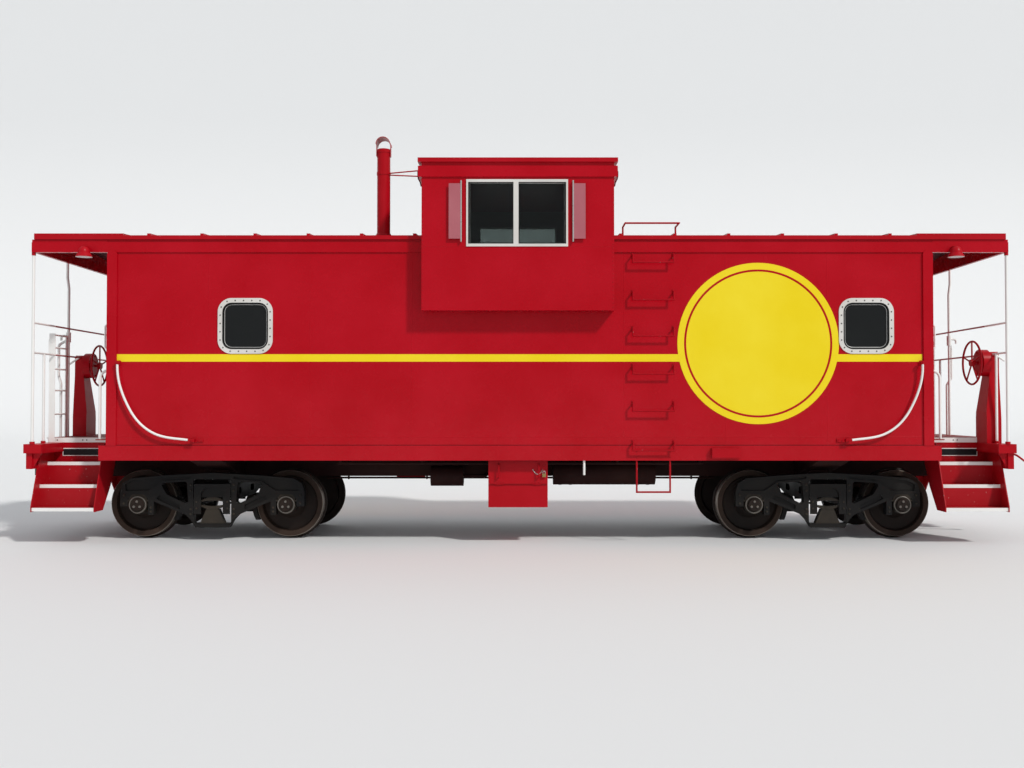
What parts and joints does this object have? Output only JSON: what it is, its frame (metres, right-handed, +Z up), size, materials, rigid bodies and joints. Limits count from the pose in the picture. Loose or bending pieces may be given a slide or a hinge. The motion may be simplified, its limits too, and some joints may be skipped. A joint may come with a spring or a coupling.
{
  "type": "caboose",
  "caption": "Steel caboose with a wide cupola, open end platforms with steps, and two leaf-sprung trucks.",
  "frame": {"origin": "bottom centre of the whole car, midway between the trucks and level with the lowest point of the wheel flanges", "axes": "+X along the track towards the b end, +Z up, -Y towards the near side with the tool box"},
  "size_m": [12.796, 3.322, 5.02],
  "materials": {
    "body_red": "gloss",
    "handrail_white": "gloss",
    "deck_plate": "matte",
    "window_metal": "satin",
    "window_glass": "gloss",
    "deflector": "gloss",
    "interior_paint": "matte",
    "seat_cover": "satin",
    "underframe_dark": "matte",
    "truck_iron": "matte",
    "wheel_steel": "matte",
    "coupler_iron": "matte",
    "hose_rubber": "matte"
  },
  "bodies": {
    "carbody": {"air_hose_a": "hose_rubber", "air_hose_b": "hose_rubber", "brake_gear": "underframe_dark", "brake_stands": "body_red", "corner_handrails": "handrail_white", "cupola_deck": "interior_paint", "cupola_ends": "body_red", "cupola_fascia": "body_red", "cupola_roof": "body_red", "cupola_seats": "seat_cover", "cupola_side_far": "body_red", "cupola_side_near": "body_red", "cupola_window_frames": "window_metal", "cupola_window_panes": "window_glass", "eave_lamps": "body_red", "end_ladders": "handrail_white", "end_pipes_and_handrails": "handrail_white", "end_railings": "handrail_white", "end_sills": "body_red", "end_walls": "body_red", "fascia": "body_red", "floor": "interior_paint", "main_roof": "body_red", "platform_steps": "body_red", "platforms": "deck_plate", "side_ladders": "body_red", "side_sills": "body_red", "side_wall_far": "body_red", "side_wall_near": "body_red", "side_window_frames": "window_metal", "side_window_panes": "window_glass", "smoke_jack": "body_red", "tool_box": "body_red", "underframe": "underframe_dark", "wind_deflectors": "deflector"},
    "truck_a": {"truck_a_bearings": "truck_iron", "truck_a_bolster": "truck_iron", "truck_a_brake_beams": "truck_iron", "truck_a_leaf_springs": "truck_iron", "truck_a_side_frames": "truck_iron"},
    "coupler_a": {"coupler_a": "coupler_iron"},
    "knuckle_a": {"knuckle_a": "coupler_iron"},
    "brake_wheel_a": {"brake_wheel_a": "body_red"},
    "end_door_a": {"end_door_a": "body_red", "end_door_a_pane": "window_glass"},
    "truck_b": {"truck_b_bearings": "truck_iron", "truck_b_bolster": "truck_iron", "truck_b_brake_beams": "truck_iron", "truck_b_leaf_springs": "truck_iron", "truck_b_side_frames": "truck_iron"},
    "coupler_b": {"coupler_b": "coupler_iron"},
    "knuckle_b": {"knuckle_b": "coupler_iron"},
    "brake_wheel_b": {"brake_wheel_b": "body_red"},
    "end_door_b": {"end_door_b": "body_red", "end_door_b_pane": "window_glass"},
    "wheelset_1": {"wheelset_1": "wheel_steel"},
    "wheelset_2": {"wheelset_2": "wheel_steel"},
    "wheelset_3": {"wheelset_3": "wheel_steel"},
    "wheelset_4": {"wheelset_4": "wheel_steel"},
    "tool_box_door": {"tool_box_door": "body_red"}
  },
  "joints": [
    {"name": "truck_a_swivel", "type": "hinge", "parent": "carbody", "child": "truck_a", "pos_m": [-3.8, 0, 0.69], "axis": [0, 0, 1], "range_deg": [-5, 5]},
    {"name": "truck_b_swivel", "type": "hinge", "parent": "carbody", "child": "truck_b", "pos_m": [3.8, 0, 0.69], "axis": [0, 0, 1], "range_deg": [-5, 5]},
    {"name": "wheelset_1_spin", "type": "hinge", "parent": "truck_a", "child": "wheelset_1", "pos_m": [-4.7145, 0, 0.4445], "axis": [0, 1, 0], "continuous": true},
    {"name": "wheelset_2_spin", "type": "hinge", "parent": "truck_a", "child": "wheelset_2", "pos_m": [-2.8855, 0, 0.4445], "axis": [0, 1, 0], "continuous": true},
    {"name": "wheelset_3_spin", "type": "hinge", "parent": "truck_b", "child": "wheelset_3", "pos_m": [2.8855, 0, 0.4445], "axis": [0, 1, 0], "continuous": true},
    {"name": "wheelset_4_spin", "type": "hinge", "parent": "truck_b", "child": "wheelset_4", "pos_m": [4.7145, 0, 0.4445], "axis": [0, 1, 0], "continuous": true},
    {"name": "end_door_a_hinge", "type": "hinge", "parent": "carbody", "child": "end_door_a", "pos_m": [-4.886, 0.35, 2], "axis": [0, 0, 1], "range_deg": [0, 92]},
    {"name": "brake_wheel_a_turn", "type": "hinge", "parent": "carbody", "child": "brake_wheel_a", "pos_m": [-5.64, 0.05, 2.2], "axis": [-1, 0, 0], "continuous": true},
    {"name": "coupler_a_swing", "type": "hinge", "parent": "carbody", "child": "coupler_a", "pos_m": [-5.25, 0, 0.901], "axis": [0, 0, 1], "range_deg": [-7, 7]},
    {"name": "knuckle_a_open", "type": "hinge", "parent": "coupler_a", "child": "knuckle_a", "pos_m": [-6.315, 0.125, 0.901], "axis": [0, 0, -1], "range_deg": [0, 45]},
    {"name": "end_door_b_hinge", "type": "hinge", "parent": "carbody", "child": "end_door_b", "pos_m": [4.886, -0.35, 2], "axis": [0, 0, 1], "range_deg": [0, 92]},
    {"name": "brake_wheel_b_turn", "type": "hinge", "parent": "carbody", "child": "brake_wheel_b", "pos_m": [5.64, -0.93, 2.2], "axis": [1, 0, 0], "continuous": true},
    {"name": "coupler_b_swing", "type": "hinge", "parent": "carbody", "child": "coupler_b", "pos_m": [5.25, 0, 0.901], "axis": [0, 0, 1], "range_deg": [-7, 7]},
    {"name": "knuckle_b_open", "type": "hinge", "parent": "coupler_b", "child": "knuckle_b", "pos_m": [6.315, -0.125, 0.901], "axis": [0, 0, -1], "range_deg": [0, 45]},
    {"name": "tool_box_door_drop", "type": "hinge", "parent": "carbody", "child": "tool_box_door", "pos_m": [-0.024, -1.3085, 0.714], "axis": [1, 0, 0], "range_deg": [0, 110]}
  ]
}
